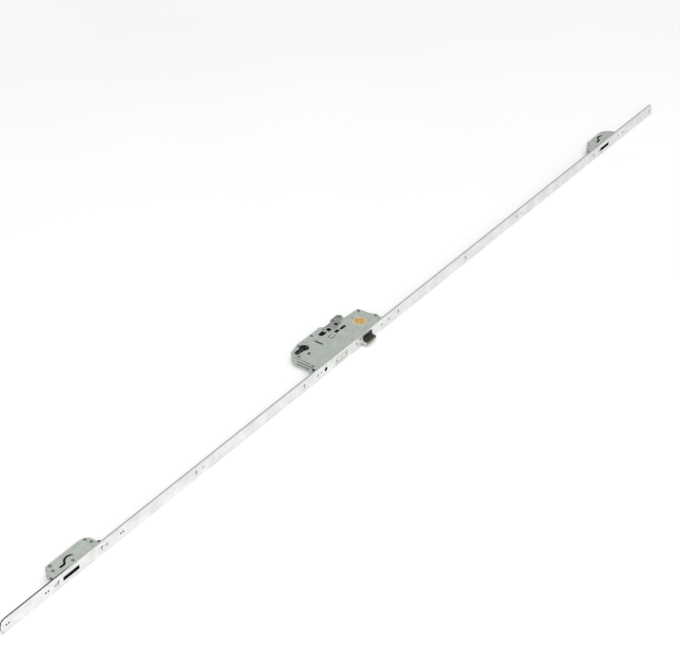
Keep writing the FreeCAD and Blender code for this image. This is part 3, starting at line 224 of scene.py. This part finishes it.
        # painted shade on the walls of the holes, within holesInside of the middle line
        height = addNode(tree, "ShaderNodeMath", {"operation": "ABSOLUTE"}, {0: (split, "Z")})
        inside = addNode(tree, "ShaderNodeMath", {"operation": "LESS_THAN"}, {
            0: (height, "Value"), 1: look["holesInside"]})
        holeShare = addNode(tree, "ShaderNodeMath", {"operation": "MULTIPLY"}, {
            0: (inside, "Value"), 1: (cutRange, "Result")})
        edged = addNode(tree, "ShaderNodeMix", {"data_type": "RGBA"}, {
            "Factor": (holeShare, "Value"), "A": (endReflected, "Result"), "B": linear(look["hole"])})
    worn = addNode(tree, "ShaderNodeMix", {"data_type": "RGBA"}, {
        "Factor": (cornerRange, "Value"), "A": (edged, "Result"), "B": linear(look["edgeWearAndHighlight"])})
    roughRange = addNode(tree, "ShaderNodeMapRange", None, {
        "Value": (lines, "Fac"), "From Min": 0.3, "From Max": 0.7,
        "To Min": look["roughness"] - 0.06, "To Max": look["roughness"] + 0.08})
    bump = addNode(tree, "ShaderNodeBump", None, {
        "Strength": look["bump"], "Distance": 0.0002, "Height": (lines, "Fac")})
    shader = addNode(tree, "ShaderNodeBsdfPrincipled", None, {
        "Base Color": (worn, "Result"), "Metallic": look["metallic"],
        "Roughness": (roughRange, "Result"), "Normal": (bump, "Normal")})
    finishMaterial(tree, shader)
    return material


# Die-cast zinc of the follower: pale grey, grainy as cast, with flow marks; its walls that don't face along
# Z, those of its square among them, are painted dark as painted shade.
zincCasting = {
    "pale": "DCDCD8",
    "flow": "BDBDB9",
    "wallShade": "3A3937",
    "grainMm": 0.8,
    "flowMm": 6.0,
    "roughness": 0.5,
}


def castZinc():
    material, tree = blankMaterial("castZincAsCast")
    place = addNode(tree, "ShaderNodeTexCoord")
    grain = addNode(tree, "ShaderNodeTexNoise", None, {
        "Vector": (place, "Object"), "Scale": 1000.0 / zincCasting["grainMm"], "Detail": 4.0})
    flow = addNode(tree, "ShaderNodeTexNoise", None, {
        "Vector": (place, "Object"), "Scale": 1000.0 / zincCasting["flowMm"], "Detail": 3.0,
        "Distortion": 1.2})
    tone = addNode(tree, "ShaderNodeMix", {"data_type": "RGBA"}, {
        "Factor": (flow, "Fac"), "A": linear(zincCasting["flow"]), "B": linear(zincCasting["pale"])})
    # walls that don't face along Z are painted dark as painted shade
    shape = addNode(tree, "ShaderNodeNewGeometry")
    facing = addNode(tree, "ShaderNodeSeparateXYZ", None, {"Vector": (shape, "True Normal")})
    upward = addNode(tree, "ShaderNodeMath", {"operation": "ABSOLUTE"}, {0: (facing, "Z")})
    wallRange = addNode(tree, "ShaderNodeMapRange", None, {
        "Value": (upward, "Value"), "From Min": 0.4, "From Max": 0.7, "To Min": 1.0, "To Max": 0.0})
    walled = addNode(tree, "ShaderNodeMix", {"data_type": "RGBA"}, {
        "Factor": (wallRange, "Result"), "A": (tone, "Result"), "B": linear(zincCasting["wallShade"])})
    bump = addNode(tree, "ShaderNodeBump", None, {
        "Strength": 0.25, "Distance": 0.0001, "Height": (grain, "Fac")})
    shader = addNode(tree, "ShaderNodeBsdfPrincipled", None, {
        "Base Color": (walled, "Result"), "Metallic": 0.85, "Roughness": zincCasting["roughness"],
        "Normal": (bump, "Normal")})
    finishMaterial(tree, shader)
    return material


# Moulded black nylon of the latch's insert and the pusher: satin, with fine grain from the mould and worn
# paler in ribs where the strike rubs.
blackNylon = {
    "deep": "17160F",
    "worn": "45432F",
    "shade": "0C0B08",
    "shadeFrom": -0.0628,    # metres along Y, where the painted shade against the faceplate starts
    "grainMm": 0.5,
    "ribMm": 2.1,
    "roughness": 0.38,
}


def mouldedNylon():
    material, tree = blankMaterial("mouldedBlackNylon")
    place = addNode(tree, "ShaderNodeTexCoord")
    grain = addNode(tree, "ShaderNodeTexNoise", None, {
        "Vector": (place, "Object"), "Scale": 1000.0 / blackNylon["grainMm"], "Detail": 3.0})
    ribs = addNode(tree, "ShaderNodeTexWave", {"bands_direction": "Y", "wave_profile": "SIN"}, {
        "Vector": (place, "Object"), "Scale": 1000.0 / blackNylon["ribMm"] * math.pi / 10,
        "Distortion": 0.6, "Detail": 1.0})
    mix = addNode(tree, "ShaderNodeMix", {"data_type": "RGBA"}, {
        "Factor": (ribs, "Fac"), "A": linear(blackNylon["deep"]), "B": linear(blackNylon["worn"])})
    split = addNode(tree, "ShaderNodeSeparateXYZ", None, {"Vector": (place, "Object")})
    shadeRange = addNode(tree, "ShaderNodeMapRange", None, {
        "Value": (split, "Y"), "From Min": blackNylon["shadeFrom"],
        "From Max": blackNylon["shadeFrom"] + 0.001})
    shaded = addNode(tree, "ShaderNodeMix", {"data_type": "RGBA"}, {
        "Factor": (shadeRange, "Result"), "A": (mix, "Result"), "B": linear(blackNylon["shade"])})
    bump = addNode(tree, "ShaderNodeBump", None, {
        "Strength": 0.2, "Distance": 0.0001, "Height": (grain, "Fac")})
    shader = addNode(tree, "ShaderNodeBsdfPrincipled", None, {
        "Base Color": (shaded, "Result"), "Roughness": blackNylon["roughness"], "IOR": 1.53,
        "Normal": (bump, "Normal")})
    finishMaterial(tree, shader)
    return material


# Varnished paper sticker: blotchy amber inside a paler rim, with paper fibre.
sticker = {
    "centre": (0.0505, -0.029, 0.008),   # metres
    "rimMm": 10.9,           # where the pale rim starts
    "inside": "DDBB7E",
    "insideDark": "B68743",
    "blotchMm": 4.0,
    "rim": "D9CFB2",
    "fibreMm": 0.5,
    "roughness": 0.42,
}


def printedPaper():
    material, tree = blankMaterial("varnishedAmberPaper")
    place = addNode(tree, "ShaderNodeTexCoord")
    fibre = addNode(tree, "ShaderNodeTexNoise", None, {
        "Vector": (place, "Object"), "Scale": 1000.0 / sticker["fibreMm"], "Detail": 5.0, "Roughness": 0.7})
    cloud = addNode(tree, "ShaderNodeTexNoise", None, {
        "Vector": (place, "Object"), "Scale": 1000.0 / sticker["blotchMm"], "Detail": 2.0})
    blotch = addNode(tree, "ShaderNodeMapRange", None, {
        "Value": (cloud, "Fac"), "From Min": 0.35, "From Max": 0.65})
    shade = addNode(tree, "ShaderNodeMix", {"data_type": "RGBA"}, {
        "Factor": (blotch, "Result"), "A": linear(sticker["insideDark"]), "B": linear(sticker["inside"])})
    away = addNode(tree, "ShaderNodeVectorMath", {"operation": "DISTANCE"}, {
        0: (place, "Object"), 1: sticker["centre"]})
    rimRange = addNode(tree, "ShaderNodeMapRange", None, {
        "Value": (away, "Value"), "From Min": (sticker["rimMm"] - 0.2) / 1000,
        "From Max": (sticker["rimMm"] + 0.2) / 1000})
    rimmed = addNode(tree, "ShaderNodeMix", {"data_type": "RGBA"}, {
        "Factor": (rimRange, "Result"), "A": (shade, "Result"), "B": linear(sticker["rim"])})
    bump = addNode(tree, "ShaderNodeBump", None, {
        "Strength": 0.15, "Distance": 0.00005, "Height": (fibre, "Fac")})
    shader = addNode(tree, "ShaderNodeBsdfPrincipled", None, {
        "Base Color": (rimmed, "Result"), "Roughness": sticker["roughness"], "IOR": 1.5,
        "Normal": (bump, "Normal")})
    finishMaterial(tree, shader)
    return material


stripSteel = platedSteel("zincPlatedRolledStrip", platedStrip)
sheetSteel = platedSteel("passivatedZincSheet", caseSheet)
coverSteel = platedSteel("passivatedCoverSheet", coverSheet)
lowerCoverSteel = platedSteel("passivatedLowerCoverSheet", lowerCoverSheet)
traySteel = platedSteel("passivatedTraySheet", traySheet)
phosphatedSheet = platedSteel("phosphatedSheet", darkSheet)
stampedSteel = platedSteel("zincPlatedStampedSteel", slideSteel)
oiledSteel = platedSteel("oiledStampedSteel", oiledSlide)
nickelSteel = platedSteel("nickelPlatedSteel", boltSteel)
latchSteel = platedSteel("nickelPlatedLatch", latchCasting)
groundSteel = platedSteel("groundPlatedSteel", groundBolt)
turnedSteel = platedSteel("turnedZincPlatedSteel", turnedBar)
rivetSteel = platedSteel("pressedRivetSteel", pressedBar)
hardenedSteel = platedSteel("blackenedHardenedSteel", hardenedBar)
springSteel = platedSteel("drawnSpringWire", drawnWire)
followerZinc = castZinc()
nylon = mouldedNylon()
amberPaper = printedPaper()
print("materials made")

finishes = {
    "faceplate_steel": stripSteel,
    "screw_steel": turnedSteel,
    "rivet_steel": rivetSteel,
    "case_sheet": sheetSteel,
    "dark_sheet": phosphatedSheet,
    "cast_zinc": followerZinc,
    "black_plastic": nylon,
    "spring_steel": springSteel,
    "bolt_steel": nickelSteel,
    "dark_steel": hardenedSteel,
    "slide_steel": stampedSteel,
    "amber_label": amberPaper,
}
for part in frame["record"]["subparts"]:
    piece = nodes[part["node"]]
    piece.data.materials.clear()
    piece.data.materials.append(finishes[part["material_slot"]])
# some nodes differ from the rest of their slot
ownFinish = {
    "deadbolt": groundSteel,
    "latch_head": latchSteel,
    "deadbolt_tail": oiledSteel,
    "drive_slide": oiledSteel,
    "lower_hook_pivot": rivetSteel,
    "upper_hook_rivets": turnedSteel,
    "lower_hook_slide": oiledSteel,
    "upper_hook_slide": oiledSteel,
    "main_case_cover": coverSteel,
    "lower_hook_cover": lowerCoverSteel,
    "upper_hook_cover": coverSteel,
    "main_case_tray": traySteel,
    "lower_hook_tray": traySteel,
    "upper_hook_tray": traySteel,
}
for name, finish in ownFinish.items():
    nodes[name].data.materials.clear()
    nodes[name].data.materials.append(finish)
print("finishes given to the lock's nodes")


# studio: pale floor, soft boxes and the camera

studio = {
    "floorBelow": 0.012,     # metres: half the faceplate's width, since the lock lies on its edge
    "floorHalf": 30.0,       # metres
    "fadeFrom": 0.9,         # metres from the lock's middle, between which the floor fades
    "fadeTo": 2.8,           # to a white backdrop
    "floorTone": "F8F8F8",
    "floorCloud": "F0F0F0",
    "floorLift": 0.16,       # how much whiter the camera sees the floor than it lights the lock
    "skyTone": "FFFFFF",
    "skyStrength": 0.5,
}

# place, point aimed at and size in metres, power in watts
softBoxes = {
    "overheadSoftBox": {
        "place": (-0.5, -0.7, 4.0), "target": (0.1, 0.2, 0.0), "size": (5.0, 4.0), "power": 95.0},
    "windowSoftBox": {
        "place": (-2.6, -2.2, 1.6), "target": (0.0, 0.0, 0.0), "size": (2.0, 1.4), "power": 30.0},
}


def paleFloor():
    mesh = bpy.data.meshes.new("paleFloor")
    form = bmesh.new()
    half = studio["floorHalf"]
    corners = [form.verts.new((x, y, -studio["floorBelow"])) for x, y in
               ((-half, -half), (half, -half), (half, half), (-half, half))]
    form.faces.new(corners)
    form.to_mesh(mesh)
    form.free()
    floor = bpy.data.objects.new("paleFloor", mesh)
    bpy.context.scene.collection.objects.link(floor)
    material, tree = blankMaterial("paintedBackdrop")
    place = addNode(tree, "ShaderNodeTexCoord")
    cloud = addNode(tree, "ShaderNodeTexNoise", None, {
        "Vector": (place, "Object"), "Scale": 1.5, "Detail": 2.0})
    tone = addNode(tree, "ShaderNodeMix", {"data_type": "RGBA"}, {
        "Factor": (cloud, "Fac"), "A": linear(studio["floorCloud"]), "B": linear(studio["floorTone"])})
    paint = addNode(tree, "ShaderNodeBsdfDiffuse", None, {"Color": (tone, "Result")})
    path = addNode(tree, "ShaderNodeLightPath")
    lift = addNode(tree, "ShaderNodeMath", {"operation": "MULTIPLY"}, {
        0: (path, "Is Camera Ray"), 1: studio["floorLift"]})
    glow = addNode(tree, "ShaderNodeEmission", None, {
        "Color": linear("FFFFFF"), "Strength": (lift, "Value")})
    near = addNode(tree, "ShaderNodeAddShader")
    tree.links.new(paint.outputs[0], near.inputs[0])
    tree.links.new(glow.outputs[0], near.inputs[1])
    away = addNode(tree, "ShaderNodeVectorMath", {"operation": "LENGTH"}, {0: (place, "Object")})
    fade = addNode(tree, "ShaderNodeMapRange", {"interpolation_type": "SMOOTHSTEP"}, {
        "Value": (away, "Value"), "From Min": studio["fadeFrom"], "From Max": studio["fadeTo"]})
    seen = addNode(tree, "ShaderNodeMath", {"operation": "MULTIPLY"}, {
        0: (path, "Is Camera Ray"), 1: (fade, "Result")})
    white = addNode(tree, "ShaderNodeEmission", None, {"Color": linear("FFFFFF"), "Strength": 1.0})
    far = addNode(tree, "ShaderNodeMixShader", None, {"Fac": (seen, "Value")})
    tree.links.new(near.outputs[0], far.inputs[1])
    tree.links.new(white.outputs[0], far.inputs[2])
    finishMaterial(tree, far)
    mesh.materials.append(material)


def softBox(name, box):
    light = bpy.data.lights.new(name, "AREA")
    light.shape = "RECTANGLE"
    light.size, light.size_y = box["size"]
    light.energy = box["power"]
    lamp = bpy.data.objects.new(name, light)
    lamp.location = box["place"]
    aim = Vector(box["target"]) - Vector(box["place"])
    lamp.rotation_euler = aim.to_track_quat("-Z", "Y").to_euler()
    bpy.context.scene.collection.objects.link(lamp)


# the photographer's camera, worked out from the lock's known sizes
cameraView = {
    "turn": -55.11,          # degrees about the vertical
    "height": 33.68,         # degrees above the floor
    "roll": 0.59,
    "away": 3.314,           # metres from the point looked at
    "lookAt": (0.02975, -0.00278, 0.00375),
    "lensMm": 101.54,
}


def photoCamera():
    turn, height, roll = [math.radians(cameraView[key]) for key in ("turn", "height", "roll")]
    back = Vector((math.sin(turn) * math.cos(height), -math.cos(turn) * math.cos(height), math.sin(height)))
    right = Vector((math.cos(turn), math.sin(turn), 0.0))
    up = back.cross(right)
    side = right * math.cos(roll) + up * math.sin(roll)
    over = up * math.cos(roll) - right * math.sin(roll)
    data = bpy.data.cameras.new("photoCamera")
    data.lens = cameraView["lensMm"]
    data.sensor_fit = "HORIZONTAL"
    data.sensor_width = 36.0
    data.clip_end = 50.0
    camera = bpy.data.objects.new("photoCamera", data)
    place = Vector(cameraView["lookAt"]) + back * cameraView["away"]
    rows = [[side[i], over[i], back[i], place[i]] for i in range(3)] + [[0, 0, 0, 1]]
    camera.matrix_world = Matrix(rows)
    bpy.context.scene.collection.objects.link(camera)
    bpy.context.scene.camera = camera


def softSky():
    world = bpy.data.worlds.new("softSky")
    world.use_nodes = True
    tree = world.node_tree
    tree.nodes.clear()
    # the camera sees a white sky, which lights the lock at skyStrength
    path = addNode(tree, "ShaderNodeLightPath")
    strength = addNode(tree, "ShaderNodeMapRange", None, {
        "Value": (path, "Is Camera Ray"), "To Min": studio["skyStrength"], "To Max": 1.0})
    sky = addNode(tree, "ShaderNodeBackground", None, {
        "Color": linear(studio["skyTone"]), "Strength": (strength, "Result")})
    out = addNode(tree, "ShaderNodeOutputWorld")
    tree.links.new(sky.outputs[0], out.inputs["Surface"])
    bpy.context.scene.world = world


paleFloor()
photoCamera()
for name, box in softBoxes.items():
    softBox(name, box)
softSky()
bpy.context.scene.view_settings.view_transform = "Standard"
print("studio ready")
